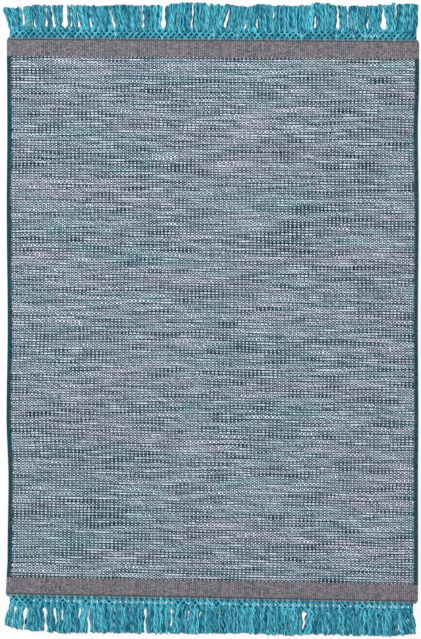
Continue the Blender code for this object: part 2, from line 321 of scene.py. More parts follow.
# Half sizes in warp pairs and pick pairs: a white dot, one where the yarn lies slack, and a hole.
DOT_SIZE = (0.215, 0.39)
SLACK_DOT = 0.46
HOLE_SIZE = (0.315, 0.245)
field_cotton, tree, shader = start_material(
    "plain woven cotton, white and space-dyed", 0.95, Specular_IOR_Level=0.15, Sheen_Weight=0.1
)
bake_map = add_node(tree, "ShaderNodeUVMap", uv_map="OFBake")
weave = add_node(
    tree, "ShaderNodeMapping", {"Vector": bake_map, "Scale": (WARP_PAIRS, PICK_PAIRS, 0.0)}
)
half_on = add_node(tree, "ShaderNodeVectorMath", {0: weave, 1: (0.5, 0.5, 0.0)}, operation="ADD")
crossing = add_node(tree, "ShaderNodeVectorMath", {0: half_on}, operation="FLOOR")
in_cell = add_node(tree, "ShaderNodeVectorMath", {0: half_on}, operation="FRACTION")
from_dot = add_node(
    tree, "ShaderNodeVectorMath", {0: in_cell, 1: (0.5, 0.5, 0.0)}, operation="SUBTRACT"
)
weave_axes = add_node(tree, "ShaderNodeSeparateXYZ", {0: weave})
along_yarn = weave_axes.node.outputs["X"]
dyed_pick = add_node(
    tree, "ShaderNodeMath", {0: weave_axes.node.outputs["Y"]}, operation="FLOOR"
)
white_pick = add_node(tree, "ShaderNodeSeparateXYZ", {0: crossing}, output="Y")
dyed_run = add_node(
    tree, "ShaderNodeMath", {0: dyed_pick, 1: PICK_SHIFT, 2: along_yarn}, operation="MULTIPLY_ADD"
)
white_run = add_node(
    tree, "ShaderNodeMath", {0: white_pick, 1: PICK_SHIFT, 2: along_yarn}, operation="MULTIPLY_ADD"
)
along_dyed = add_node(tree, "ShaderNodeCombineXYZ", {"X": dyed_run, "Y": dyed_pick})
along_white = add_node(tree, "ShaderNodeCombineXYZ", {"X": white_run, "Y": white_pick})

# The dyed yarn: its dye changes along the pick, and each float gets a painted highlight at its middle and
# painted shade at its rim, some more than others. A slow tint, rosy here and teal there, lies over the
# whole weave, and least on the white dots.
dye_place = add_node(
    tree,
    "ShaderNodeMapping",
    {"Vector": along_dyed, "Location": (31.0, 5.0, 0.0), "Scale": (1 / DYE_RUN, PICK_STEP, 0.0)},
)
dye = add_node(
    tree,
    "ShaderNodeTexNoise",
    {"Vector": dye_place, "Scale": 1.0, "Detail": 1.0, "Roughness": 0.5, "Lacunarity": 3.0},
    noise_dimensions="2D",
)
dye_band = add_node(
    tree,
    "ShaderNodeMapping",
    {"Vector": weave, "Location": (3.0, 7.0, 0.0), "Scale": (1 / TINT_RUN, 1 / TINT_PICKS, 0.0)},
)
band = add_node(
    tree, "ShaderNodeTexNoise", {"Vector": dye_band, "Scale": 1.0, "Detail": 3.0}, noise_dimensions="2D"
)
banded_dye = add_node(
    tree, "ShaderNodeMath", {0: band, 1: DYE_BAND, 2: dye}, operation="MULTIPLY_ADD"
)
dye_share = add_node(tree, "ShaderNodeMapRange", {0: banded_dye, 1: DYE_RANGE[0], 2: DYE_RANGE[1]})
dye_ramp = add_node(tree, "ShaderNodeValToRGB", {0: dye_share}).node
for place, _ in DYE_COLOURS[1:-1]:
    dye_ramp.color_ramp.elements.new(place)
for stop, (place, colour) in zip(dye_ramp.color_ramp.elements, DYE_COLOURS):
    stop.position = place
    stop.color = linear(colour)
tint_place = add_node(
    tree, "ShaderNodeMapping", {"Vector": weave, "Scale": (1 / TINT_RUN, 1 / TINT_PICKS, 0.0)}
)
tint = add_node(
    tree,
    "ShaderNodeTexNoise",
    {"Vector": tint_place, "Scale": 1.0, "Detail": 4.0, "Roughness": 0.7},
    noise_dimensions="2D",
)
tint_share = add_node(tree, "ShaderNodeMapRange", {0: tint, 1: 0.34, 2: 0.66})
tint_colour = add_node(
    tree,
    "ShaderNodeMix",
    {"Factor": tint_share, 6: TEAL_TINT, 7: ROSY_TINT},
    output=2,
    data_type="RGBA",
)
off_dot = add_node(tree, "ShaderNodeVectorMath", {0: from_dot}, operation="ABSOLUTE")
off_axes = add_node(tree, "ShaderNodeSeparateXYZ", {0: off_dot}).node
off_dot_row = off_axes.outputs["Y"]
seam = add_node(
    tree,
    "ShaderNodeMapRange",
    {0: off_dot_row, 1: 0.10, 2: 0.40, 3: 0.88, 4: 0.0},
    interpolation_type="SMOOTHSTEP",
)
float_number = add_node(tree, "ShaderNodeVectorMath", {0: weave}, operation="FLOOR")
float_shade = add_node(
    tree, "ShaderNodeTexWhiteNoise", {"Vector": float_number}, noise_dimensions="2D"
)
float_light = add_node(
    tree, "ShaderNodeMapRange", {0: float_shade, 3: FLOAT_LIGHT[0], 4: FLOAT_LIGHT[1]}
)
# Painted highlight and shade: each dyed float is lighter at its middle and darker at its rim.
painted_float_rounding = add_node(
    tree,
    "ShaderNodeMapRange",
    {0: off_axes.outputs["X"], 1: 0.1, 2: 0.5, 3: FLOAT_PAINTED_ROUNDING[0], 4: FLOAT_PAINTED_ROUNDING[1]},
)
tone_and_painted_rounding = add_node(tree, "ShaderNodeMath", {0: float_light, 1: painted_float_rounding}, operation="MULTIPLY")
dyed = add_node(
    tree,
    "ShaderNodeVectorMath",
    {0: dye_ramp.outputs["Color"], "Scale": tone_and_painted_rounding},
    operation="SCALE",
)

# The white yarn: dots, some of them long where the yarn lies slack, and no two equally bright. Between
# the dots it passes behind a warp, and shows there as a shaded seam between the dyed floats.
slack_place = add_node(
    tree,
    "ShaderNodeMapping",
    {"Vector": along_white, "Location": (55.0, 23.0, 0.0), "Scale": (1 / SLACK_RUN, PICK_STEP, 0.0)},
)
slack = add_node(
    tree,
    "ShaderNodeTexNoise",
    {"Vector": slack_place, "Scale": 1.0, "Detail": 0.0},
    noise_dimensions="2D",
)
dot_length = add_node(
    tree, "ShaderNodeMapRange", {0: slack, 1: 0.56, 2: 0.80, 3: DOT_SIZE[0], 4: SLACK_DOT}
)
dot_size = add_node(tree, "ShaderNodeCombineXYZ", {"X": dot_length, "Y": DOT_SIZE[1], "Z": 1.0})
dot_place = add_node(tree, "ShaderNodeVectorMath", {0: from_dot, 1: dot_size}, operation="DIVIDE")
dot_distance = add_node(
    tree, "ShaderNodeVectorMath", {0: dot_place}, output="Value", operation="LENGTH"
)
dot = add_node(
    tree,
    "ShaderNodeMapRange",
    {0: dot_distance, 1: 0.85, 2: 1.15, 3: 1.0, 4: 0.0},
    interpolation_type="SMOOTHSTEP",
)
dot_shade = add_node(tree, "ShaderNodeTexWhiteNoise", {"Vector": crossing}, noise_dimensions="2D")
shade_place = add_node(
    tree,
    "ShaderNodeMapping",
    {"Vector": along_white, "Location": (5.0, 47.0, 0.0), "Scale": (1 / SLACK_RUN, PICK_STEP, 0.0)},
)
pick_shade = add_node(
    tree,
    "ShaderNodeTexNoise",
    {"Vector": shade_place, "Scale": 1.0, "Detail": 0.0},
    noise_dimensions="2D",
)
pick_grey = add_node(tree, "ShaderNodeMapRange", {0: pick_shade, 1: 0.30, 2: 0.75, 3: 0.0, 4: 0.06})
few_grey = add_node(tree, "ShaderNodeMath", {0: dot_shade, 1: 2.0}, operation="POWER")
grey = add_node(
    tree, "ShaderNodeMath", {0: few_grey, 1: 0.46, 2: pick_grey}, operation="MULTIPLY_ADD"
)
white_yarn = add_node(
    tree,
    "ShaderNodeMix",
    {"Factor": grey, 6: linear("#E4F3FF"), 7: linear("#3E5A78")},
    output=2,
    data_type="RGBA",
)
behind_shade = add_node(tree, "ShaderNodeMapRange", {0: pick_shade, 1: 0.30, 2: 0.70})
behind = add_node(
    tree,
    "ShaderNodeMix",
    {"Factor": behind_shade, 6: linear("#A0ADB9"), 7: linear("#122836")},
    output=2,
    data_type="RGBA",
)
dyed = add_node(
    tree, "ShaderNodeMix", {"Factor": seam, 6: dyed, 7: behind}, output=2, data_type="RGBA"
)
# Painted shadow: the dyed yarn is darker close round each white dot, and a little lighter further off.
painted_dot_shadow = add_node(tree, "ShaderNodeMapRange", {0: dot_distance, 1: 1.1, 2: 2.2, 3: 0.18, 4: 1.18})
dyed = add_node(
    tree, "ShaderNodeVectorMath", {0: dyed, "Scale": painted_dot_shadow}, operation="SCALE"
)
cotton = add_node(
    tree, "ShaderNodeMix", {"Factor": dot, 6: dyed, 7: white_yarn}, output=2, data_type="RGBA"
)

# Painted shade: the holes between the floats, and the gap at every second warp where the field meets a
# hem, are painted near black.
hole_along = add_node(tree, "ShaderNodeMath", {0: 0.5, 1: off_dot_row}, operation="SUBTRACT")
hole_place = add_node(tree, "ShaderNodeCombineXYZ", {"X": off_axes.outputs["X"], "Y": hole_along})
hole_scaled = add_node(
    tree, "ShaderNodeVectorMath", {0: hole_place, 1: (*HOLE_SIZE, 1.0)}, operation="DIVIDE"
)
hole_distance = add_node(
    tree, "ShaderNodeVectorMath", {0: hole_scaled}, output="Value", operation="LENGTH"
)
hole = add_node(
    tree,
    "ShaderNodeMapRange",
    {0: hole_distance, 1: 0.6, 2: 1.4, 3: 0.97, 4: 0.0},
    interpolation_type="SMOOTHSTEP",
)
off_middle = add_node(
    tree,
    "ShaderNodeMath",
    {0: weave_axes.node.outputs["Y"], 1: PICK_PAIRS / 2},
    operation="SUBTRACT",
)
end_share = add_node(
    tree,
    "ShaderNodeMapRange",
    {
        0: add_node(tree, "ShaderNodeMath", {0: off_middle}, operation="ABSOLUTE"),
        1: PICK_PAIRS / 2 - 0.55,
        2: PICK_PAIRS / 2 - 0.25,
    },
)
odd_warp = add_node(tree, "ShaderNodeMapRange", {0: off_axes.outputs["X"], 1: 0.18, 2: 0.32})
end_gap_shade = add_node(tree, "ShaderNodeMath", {0: end_share, 1: odd_warp}, operation="MULTIPLY")
dark = add_node(tree, "ShaderNodeMath", {0: hole, 1: end_gap_shade}, operation="MAXIMUM")
# Painted shade: holes and gaps are darkened nearly to black.
cotton = add_node(
    tree, "ShaderNodeMix", {"Factor": dark, 6: cotton, 7: linear("#021828")}, output=2, data_type="RGBA"
)
tint_strength = add_node(tree, "ShaderNodeMapRange", {0: dot, 3: 1.0, 4: DOT_TINT})
cotton = add_node(
    tree,
    "ShaderNodeMix",
    {"Factor": tint_strength, 6: cotton, 7: tint_colour},
    output=2,
    data_type="RGBA",
    blend_type="MULTIPLY",
)
tree.links.new(cotton, shader.inputs["Base Color"])

# The floats' round backs, and the yarn's twist as streaks of 1 by 0.3 mm, are too fine for the mesh.
float_back = add_node(
    tree,
    "ShaderNodeMapRange",
    {0: dot_distance, 1: 0.0, 2: 1.5, 3: 1.0, 4: 0.0},
    interpolation_type="SMOOTHSTEP",
)
hole_depth = add_node(tree, "ShaderNodeMath", {0: float_back, 1: hole}, operation="SUBTRACT")
twist_place = add_node(
    tree,
    "ShaderNodeMapping",
    {"Vector": weave, "Rotation": (0.0, 0.0, 0.6), "Scale": (6.0, 14.0, 0.0)},
)
twist = add_node(
    tree, "ShaderNodeTexNoise", {"Vector": twist_place, "Scale": 1.0}, noise_dimensions="2D"
)
yarn_height = add_node(
    tree, "ShaderNodeMath", {0: twist, 1: 0.35, 2: hole_depth}, operation="MULTIPLY_ADD"
)
surface = add_node(
    tree, "ShaderNodeBump", {"Height": yarn_height, "Strength": 0.6, "Distance": 0.0005}
)
tree.links.new(surface, shader.inputs["Normal"])
field = finish_mesh("field", field_bm, field_cotton, 75)
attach(field, "root")
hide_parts("woven_cloth")

# Hems: plain taupe cotton beaten down over the same warps, so that the warps stand up as fine ribs. Each
# end is turned under and stitched down in a groove, outside which a thin lip takes the fringe's loops.
HEM_HEIGHT = 0.0036
LIP_HEIGHT = 0.0020
LIP_INSET = 0.0036
HEM_RIBS = 202
COLUMNS_PER_RIB = 4
RIB_HEIGHTS = (-0.00028, 0.00008, 0.00022, 0.00008)
PICK_ROWS = 18
RIB_STRAY = 0.12
RIB_UNEVENNESS = 0.00006
# The turned sides are sewn along a crease, deepest at the bottom right, and droop over this width.
CREASE_INSET = 0.0042
CREASE_WIDTH = 0.0010
CREASE_DEPTH = 0.0006
SHALLOW_CREASE = 0.4
DROOP_WIDTH = 0.0012
DROOP_SHARE = 0.3
LIP_ROWS = (
    # distance from the end, height, inset of the sides, share of the rib's height
    (0.0012, 0.0011, LIP_INSET, 0.2),
    (0.0015, 0.0018, 0.0030, 0.5),
    (0.0020, LIP_HEIGHT, 0.0024, 0.7),
    (0.0030, LIP_HEIGHT, 0.0017, 0.7),
    (0.0040, 0.0019, 0.0010, 0.6),
    (0.0046, 0.0013, 0.0008, 0.3),
    (0.0051, 0.0012, 0.0006, 0.2),
    (0.0056, 0.0026, 0.0003, 0.4),
    (0.0062, 0.0033, 0.0001, 0.8),
    (0.0072, HEM_HEIGHT, 0.0, 1.0),
)
hem_rows = list(LIP_ROWS)
for pick in range(1, PICK_ROWS + 1):
    share = pick / PICK_ROWS
    band_start = LIP_ROWS[-1][0]
    hem_rows.append((band_start + (HEM_LENGTH - band_start) * share, HEM_HEIGHT, 0.0, 1.0))

# Cotton yarn beaten down hard: matt, with fine ribs, and painted shade in the valleys between them.
# Its picks are drawn 1.4 mm apart, which is as fine as the picture shows.
HEM_PICKS = 24.0
# The groove's middle lies between these two of LIP_ROWS, as a share of the hem's rows.
GROOVE_SHARE = (5 + 6) / 2 / (len(hem_rows) - 1)
hem_cotton, tree, shader = start_material(
    "plain woven cotton hem, taupe", 0.95, Specular_IOR_Level=0.15, Sheen_Weight=0.1
)
bake_map = add_node(tree, "ShaderNodeUVMap", uv_map="OFBake")
ribs = add_node(tree, "ShaderNodeMapping", {"Vector": bake_map, "Scale": (HEM_RIBS, HEM_PICKS, 0.0)})
rib_number = add_node(tree, "ShaderNodeVectorMath", {0: ribs}, operation="FLOOR")
knot = add_node(tree, "ShaderNodeTexWhiteNoise", {"Vector": rib_number}, noise_dimensions="2D").node
taupe = add_node(
    tree,
    "ShaderNodeMix",
    {"Factor": knot.outputs["Value"], 6: linear("#5E5A60"), 7: linear("#928E95")},
    output=2,
    data_type="RGBA",
)
taupe = add_node(
    tree,
    "ShaderNodeMix",
    {"Factor": 0.06, 6: taupe, 7: knot.outputs["Color"]},
    output=2,
    data_type="RGBA",
)
rib_line = add_node(
    tree, "ShaderNodeVectorMath", {0: rib_number, 1: (1.0, 0.0, 0.0)}, operation="MULTIPLY"
)
rib_shade = add_node(tree, "ShaderNodeTexWhiteNoise", {"Vector": rib_line}, noise_dimensions="2D")
rib_light = add_node(tree, "ShaderNodeMapRange", {0: rib_shade, 3: 0.90, 4: 1.08})
taupe = add_node(tree, "ShaderNodeVectorMath", {0: taupe, "Scale": rib_light}, operation="SCALE")
in_rib = add_node(tree, "ShaderNodeVectorMath", {0: ribs}, operation="FRACTION")
from_crest = add_node(
    tree, "ShaderNodeVectorMath", {0: in_rib, 1: (0.5, 0.5, 0.0)}, operation="SUBTRACT"
)
off_crest = add_node(tree, "ShaderNodeVectorMath", {0: from_crest}, operation="ABSOLUTE")
# Painted shade in the valleys between the ribs.
rib_valley_shade = add_node(
    tree,
    "ShaderNodeMapRange",
    {0: add_node(tree, "ShaderNodeSeparateXYZ", {0: off_crest}), 1: 0.2, 2: 0.5, 3: 0.0, 4: 0.52},
    interpolation_type="SMOOTHSTEP",
)
taupe = add_node(
    tree,
    "ShaderNodeMix",
    {"Factor": rib_valley_shade, 6: taupe, 7: linear("#2E2C33")},
    output=2,
    data_type="RGBA",
)
# The groove is painted dark teal, for the stitches that hold the turned end down and for painted shade.
row_share = add_node(tree, "ShaderNodeSeparateXYZ", {0: bake_map}, output="Y")
past_groove = add_node(tree, "ShaderNodeMath", {0: row_share, 1: GROOVE_SHARE}, operation="SUBTRACT")
off_groove = add_node(tree, "ShaderNodeMath", {0: past_groove}, operation="ABSOLUTE")
groove_stitches_and_shade = add_node(tree, "ShaderNodeMapRange", {0: off_groove, 1: 0.01, 2: 0.05, 3: 0.9, 4: 0.0})
taupe = add_node(
    tree,
    "ShaderNodeMix",
    {"Factor": groove_stitches_and_shade, 6: taupe, 7: linear("#163641")},
    output=2,
    data_type="RGBA",
)
# The fringe's teal cord is also sewn round both corners of the lip.
off_middle = add_node(
    tree,
    "ShaderNodeMath",
    {0: add_node(tree, "ShaderNodeSeparateXYZ", {0: bake_map}), 1: 0.5},
    operation="SUBTRACT",
)
at_corner = add_node(
    tree,
    "ShaderNodeMapRange",
    {0: add_node(tree, "ShaderNodeMath", {0: off_middle}, operation="ABSOLUTE"), 1: 0.492, 2: 0.495},
)
on_lip = add_node(tree, "ShaderNodeMapRange", {0: past_groove, 1: -0.02, 2: 0.02, 3: 0.85, 4: 0.0})
sewn = add_node(tree, "ShaderNodeMath", {0: at_corner, 1: on_lip}, operation="MULTIPLY")
taupe = add_node(
    tree, "ShaderNodeMix", {"Factor": sewn, 6: taupe, 7: linear("#3F8E9E")}, output=2, data_type="RGBA"
)
tree.links.new(taupe, shader.inputs["Base Color"])
# A wave texture at this scale has one band in each unit, which is one pick here.
ONE_BAND = math.pi / 10
pick_wave = add_node(
    tree,
    "ShaderNodeTexWave",
    {"Vector": ribs, "Scale": ONE_BAND, "Distortion": 0.6},
    bands_direction="Y",
)
surface = add_node(
    tree, "ShaderNodeBump", {"Height": pick_wave.node.outputs[1], "Strength": 0.4, "Distance": 0.0003}
)
tree.links.new(surface, shader.inputs["Normal"])


def add_hem(name, is_top):
    """A hem with its lip, ribbed on top, from the cloth's end to where the field begins."""
    columns = HEM_RIBS * COLUMNS_PER_RIB
    bm, column_of, row_of = numbered_grid(columns, len(hem_rows) - 1)
    inwards = -1 if is_top else 1
    draw = random.Random(5 + is_top)
    rib_strays = [draw.uniform(-RIB_STRAY, RIB_STRAY) for _ in range(HEM_RIBS + 1)]
    for point in bm.verts:
        column = point[column_of]
        distance, height, inset, rib_share = hem_rows[point[row_of]]
        rib, part_of_rib = divmod(column, COLUMNS_PER_RIB)
        stray = 0.0 if column in (0, columns) else rib_strays[rib]
        across = (column / COLUMNS_PER_RIB + stray) / HEM_RIBS
        y = end_line(is_top, RUG_WIDTH * (across - 0.5)) + inwards * distance
        left = side_line(False, y) + inset
        right = side_line(True, y) - inset
        x = left + (right - left) * across
        z = height + rib_share * RIB_HEIGHTS[part_of_rib]
        z += rib_share * draw.uniform(-RIB_UNEVENNESS, RIB_UNEVENNESS)
        for is_right in (False, True):
            from_side = right - x if is_right else x - left
            is_deep = is_right and not is_top
            off_crease = min(abs(from_side - CREASE_INSET) / CREASE_WIDTH, 1.0)
            z -= CREASE_DEPTH * rib_share * (1 - off_crease) * (1.0 if is_deep else SHALLOW_CREASE)
            z -= height * DROOP_SHARE * max(1 - from_side / DROOP_WIDTH, 0.0) ** 2
        point.co = (MIDDLE_X + x, MIDDLE_Y + y, z)
    close_below(bm)
    hem = finish_mesh(name, bm, hem_cotton, 60)
    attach(hem, "root")
    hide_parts("woven_cloth")
    return hem


hems = [add_hem("hem_top", True), add_hem("hem_bottom", False)]

# Selvedges: the outermost warps overcast with dark teal cotton yarn, wound round and round the edge
# from hem to hem.
SELVEDGE_HEIGHT = 0.0056
# The winding laps over the field by this much on the left side, and on the right.
OVERCAST_LAPS = (0.0025, 0.0019)
WRAP_PITCH = 0.0019
STRANDS_ROUND = 7.0
RINGS_PER_WRAP = 3
SELVEDGE_SIDES = 12
WRAP_RELIEF = 0.00022
WRAP_SLANT = 0.6
SELVEDGE_SQUARENESS = 0.7

# Cotton yarn wound tight: dark, nearly matt, and a little lighter on some strands than on others.
edge_cotton, tree, shader = start_material(
    "overcast cotton yarn, dark teal", 0.9, Specular_IOR_Level=0.2, Sheen_Weight=0.1
)
bake_map = add_node(tree, "ShaderNodeUVMap", uv_map="OFBake")
# The yarn's shade changes about once in each wrap, and once in each few strands across it.
wraps = add_node(
    tree,
    "ShaderNodeMapping",
    {"Vector": bake_map, "Scale": (STRANDS_ROUND, (CLOTH_LENGTH - 2 * HEM_LENGTH) / WRAP_PITCH, 0.0)},
)
wrap_shade = add_node(
    tree, "ShaderNodeTexNoise", {"Vector": wraps, "Scale": 0.8, "Detail": 2.0}, noise_dimensions="2D"
)
edge_light = add_node(tree, "ShaderNodeMapRange", {0: wrap_shade, 1: 0.3, 2: 0.7})
edge_colour = add_node(
    tree,
    "ShaderNodeMix",
    {"Factor": edge_light, 6: linear("#0A2C36"), 7: linear("#2B5662")},
    output=2,
    data_type="RGBA",
)
tree.links.new(edge_colour, shader.inputs["Base Color"])
surface = add_node(
    tree, "ShaderNodeBump", {"Height": wrap_shade, "Strength": 0.5, "Distance": 0.0004}
)
tree.links.new(surface, shader.inputs["Normal"])


def close_tubes(bm, seam, sides):
    """Welds each tube of a grid along its seam and caps both of its ends."""
    bmesh.ops.remove_doubles(bm, verts=seam, dist=1e-6)
    rims = [edge for edge in bm.edges if edge.is_boundary]
    bmesh.ops.holes_fill(bm, edges=rims, sides=sides)


def add_selvedge(name, node, is_right):
    """The edge cord, a rounded bar with the winding's ridges, flat where it lies on the floor."""
    first = end_line(False, RUG_WIDTH / 2 if is_right else -RUG_WIDTH / 2) + HEM_LENGTH
    last = end_line(True, RUG_WIDTH / 2 if is_right else -RUG_WIDTH / 2) - HEM_LENGTH
    rings = round((last - first) / WRAP_PITCH) * RINGS_PER_WRAP
    half_width = (SELVEDGE_WIDTH + OVERCAST_LAPS[is_right]) / 2
    bm, column_of, row_of = numbered_grid(SELVEDGE_SIDES, rings)
    inwards = -1 if is_right else 1
    seam = [point for point in bm.verts if point[column_of] in (0, SELVEDGE_SIDES)]
    for point in bm.verts:
        y = first + (last - first) * point[row_of] / rings
        side = point[column_of] % SELVEDGE_SIDES / SELVEDGE_SIDES
        phase = (point[row_of] / RINGS_PER_WRAP + WRAP_SLANT * abs(2 * side - 1)) * 2 * math.pi
        ridge = WRAP_RELIEF * math.cos(phase)
        angle = 2 * math.pi * side - math.pi / 2
        across = math.copysign(abs(math.cos(angle)) ** SELVEDGE_SQUARENESS, math.cos(angle))
        up = math.copysign(abs(math.sin(angle)) ** SELVEDGE_SQUARENESS, math.sin(angle))
        x = side_line(is_right, y) + inwards * half_width
        x += across * (half_width + ridge)
        z = max(SELVEDGE_HEIGHT / 2 + up * (SELVEDGE_HEIGHT / 2 + ridge), 0.0)
        point.co = (MIDDLE_X + x, MIDDLE_Y + y, z)
    close_tubes(bm, seam, SELVEDGE_SIDES)
    selvedge = finish_mesh(name, bm, edge_cotton, 80)
    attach(selvedge, "root")
    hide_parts(node)
    return selvedge


selvedges = [
    add_selvedge("overcast_left", "selvedge_left", False),
    add_selvedge("overcast_right", "selvedge_right", True),
]

# Fringes: two-ply teal cotton cords, pulled through each end in loops of six. Four cords of each loop
# cross the neighbours' in two rows, which make a heading, and two run straight out below them. Past the
# heading all of them hang free.
LOOPS = 70
CORDS_PER_LEG = 3
LEGS = 2 * LOOPS
CORDS = LEGS * CORDS_PER_LEG
TOP_HEADING_WIDTH = 0.5935
BOTTOM_HEADING_WIDTH = 0.5885
HEADING_LEFT_INSET = 0.0038
LEG_CLEARANCE = 0.0002
# Each cord is taut, and thinner, up to here from its start in the groove, and then swells to its full
# thickness. A middle cord is pressed flat from under the lip to the heading's end.
TAUT_LENGTH = 0.017
SWELL_LENGTH = 0.006
FLAT_START = 0.003
CORD_SIDES = 6
CORD_RADIUS = 0.00130
TIGHT_RADIUS = 0.00074
FILL_RADIUS = 0.0021
THICKNESS_STRAY = 0.07
# Cords that lie low under others are pressed this much wider.
LOW_SPREAD = 1.35
PLY_DEPTH = 0.20
PLY_TWIST = 0.0240
# Each cord's plies start at this share of a turn times its number squared, so no two neighbours match.
TURN_STEP = 0.309
ROOT_DISTANCE = 0.0106
LEG_ROWS = (
    # distance out, sideways in loop pitches, height over, height under, spread across, along, steps
    (-0.0050, 0.00, 0.0012, 0.0012, 0.0004, 0.0000, 0),
    (-0.0030, 0.03, 0.0028, 0.0028, 0.0005, 0.0000, 2),
    (-0.0008, 0.08, 0.0027, 0.0027, 0.0005, 0.0002, 2),
    (0.0038, 0.50, 0.0040, 0.0026, 0.0004, 0.0004, 4),
    (0.0076, 1.00, 0.0026, 0.0040, 0.0004, 0.0004, 4),
    (ROOT_DISTANCE, 1.25, 0.0020, 0.0038, 0.0012, 0.0000, 4),
)
# The middle cords run below, in the middle of each loop and between loops, pressed flat, and fill the
# heading's holes. They leave the groove under the lip. Where a loop is open its middle cord keeps to a
# crossing cord, and the floor shows.
MIDDLE_ROWS = (
    # distance out, share of the way to its line, sideways in loop pitches where open, height, steps
    (-0.0050, 0.00, 0.00, 0.0010, 0),
    (-0.0030, 0.60, 0.03, 0.0010, 2),
    (-0.0012, 1.00, 0.08, 0.0009, 2),
    (0.0038, 1.00, 0.32, 0.0009, 4),
    (0.0076, 1.00, 0.10, 0.0009, 4),
    (ROOT_DISTANCE, 1.00, 0.00, 0.0012, 4),
)
TOP_OPEN = (
    # distance from the left, share of the loops that are open
    (0.100, 0.03),
    (0.300, 0.25),
    (0.600, 0.45),
)
BOTTOM_OPEN = (
    # distance from the left, share of the loops that are open
    (0.000, 0.45),
    (0.150, 0.80),
    (0.600, 0.95),
)
HANGING_ROWS = 7
# Clumps have drawn together at this share of the way down, and run straight from there to their tips.
CLUMP_SHARE = 1 / HANGING_ROWS
STEPS_PER_ROW = 3
UPPER_HEIGHT = 0.0031
LOWER_HEIGHT = 0.0014
HEIGHT_STRAY = 0.0007
HIGH_SHARE = 0.45
# A cord that lies on the floor is pressed down a little.
LOWEST_HEIGHT = CORD_RADIUS * 0.95
# The free length strays by this share from leg to leg, and again from cord to cord.
LENGTH_STRAY = 0.03
TOP_WAVE = 0.0006
BOTTOM_WAVE = 0.0010
WAVE_LENGTHS = (0.45, 0.90)
# A leg's cords wave nearly together, and each is at most this angle, in radians, off the leg's wave.
WAVE_STRAY = 1.0
KINK = 0.0004
# All but the narrowest gaps are drawn this much wider, because the cords' own thickness narrows them.
GAP_SPARE = 0.0016
TOP_REACH = (
    # distance from the left, reach
    (0.000, 0.0412),
    (0.018, 0.0412),
    (0.030, 0.0436),
    (0.050, 0.0452),
    (0.080, 0.0440),
    (0.140, 0.0445),
    (0.165, 0.0460),
    (0.215, 0.0450),
    (0.255, 0.0490),
    (0.285, 0.0490),
    (0.310, 0.0470),
    (0.340, 0.0440),
    (0.370, 0.0485),
    (0.400, 0.0460),
    (0.430, 0.0465),
    (0.458, 0.0500),
    (0.490, 0.0470),
    (0.516, 0.0465),
    (0.545, 0.0480),
    (0.574, 0.0505),
    (0.600, 0.0490),
)
BOTTOM_REACH = (
    # distance from the left, reach
    (0.000, 0.0385),
    (0.015, 0.0440),
    (0.045, 0.0480),
    (0.075, 0.0500),
    (0.120, 0.0490),
    (0.180, 0.0485),
    (0.260, 0.0475),
    (0.340, 0.0460),
    (0.400, 0.0470),
    (0.460, 0.0455),
    (0.520, 0.0455),
    (0.560, 0.0460),
    (0.590, 0.0430),
    (0.600, 0.0425),
)
# Gaps between clumps of cords, from the left side. The first and last rows are the outer edges.
TOP_GAPS = (
    # distance at the root, distance at the tip, width where clumped, width at the tip
    (0.0038, -0.0066, 0.0, 0.0),
    (0.0257, 0.0222, 0.0022, 0.0030),
    (0.0345, 0.0338, 0.0012, 0.0005),
    (0.0408, 0.0400, 0.0034, 0.0006),
    (0.0578, 0.0574, 0.0032, 0.0012),
    (0.0695, 0.0640, 0.0046, 0.0012),
    (0.0850, 0.0843, 0.0084, 0.0056),
    (0.0945, 0.0925, 0.0046, 0.0012),
    (0.1060, 0.1000, 0.0052, 0.0005),
    (0.1228, 0.1185, 0.0038, 0.0005),
    (0.1570, 0.1505, 0.0044, 0.0005),
    (0.1991, 0.1975, 0.0036, 0.0010),
    (0.2279, 0.2290, 0.0072, 0.0040),
    (0.2454, 0.2500, 0.0016, 0.0005),
    (0.2690, 0.2715, 0.0034, 0.0012),
    (0.2909, 0.2940, 0.0005, 0.0014),
    (0.3165, 0.3255, 0.0050, 0.0014),
    (0.3457, 0.3530, 0.0032, 0.0005),
    (0.3640, 0.3645, 0.0028, 0.0006),
    (0.3885, 0.3885, 0.0010, 0.0012),
    (0.4500, 0.4490, 0.0034, 0.0006),
    (0.4827, 0.4820, 0.0058, 0.0012),
    (0.4968, 0.4970, 0.0012, 0.0030),
    (0.5078, 0.5080, 0.0022, 0.0006),
    (0.5257, 0.5260, 0.0036, 0.0006),
    (0.5491, 0.5485, 0.0100, 0.0008),
    (0.5680, 0.5675, 0.0008, 0.0030),
    (0.5973, 0.5995, 0.0, 0.0),
)
BOTTOM_GAPS = (
    # distance at the root, distance at the tip, width where clumped, width at the tip
    (0.0038, -0.0045, 0.0, 0.0),
    (0.0130, 0.0060, 0.0036, 0.0006),
    (0.0275, 0.0235, 0.0072, 0.0010),
    (0.0545, 0.0565, 0.0044, 0.0040),
    (0.0700, 0.0705, 0.0048, 0.0010),
    (0.0805, 0.0800, 0.0030, 0.0006),
    (0.1062, 0.1050, 0.0034, 0.0006),
    (0.1185, 0.1190, 0.0012, 0.0040),
    (0.1560, 0.1560, 0.0014, 0.0006),
    (0.2010, 0.2010, 0.0026, 0.0030),
    (0.2396, 0.2385, 0.0042, 0.0006),
    (0.2645, 0.2640, 0.0018, 0.0006),
    (0.2815, 0.2810, 0.0018, 0.0006),
    (0.3150, 0.3150, 0.0012, 0.0006),
    (0.3700, 0.3700, 0.0005, 0.0005),
    (0.4240, 0.4245, 0.0012, 0.0005),
    (0.4330, 0.4320, 0.0084, 0.0006),
    (0.4830, 0.4830, 0.0005, 0.0005),
    (0.5325, 0.5325, 0.0005, 0.0008),
    (0.5700, 0.5710, 0.0005, 0.0020),
    (0.5923, 0.5965, 0.0, 0.0),
)
LONGEST_CORD = 0.075

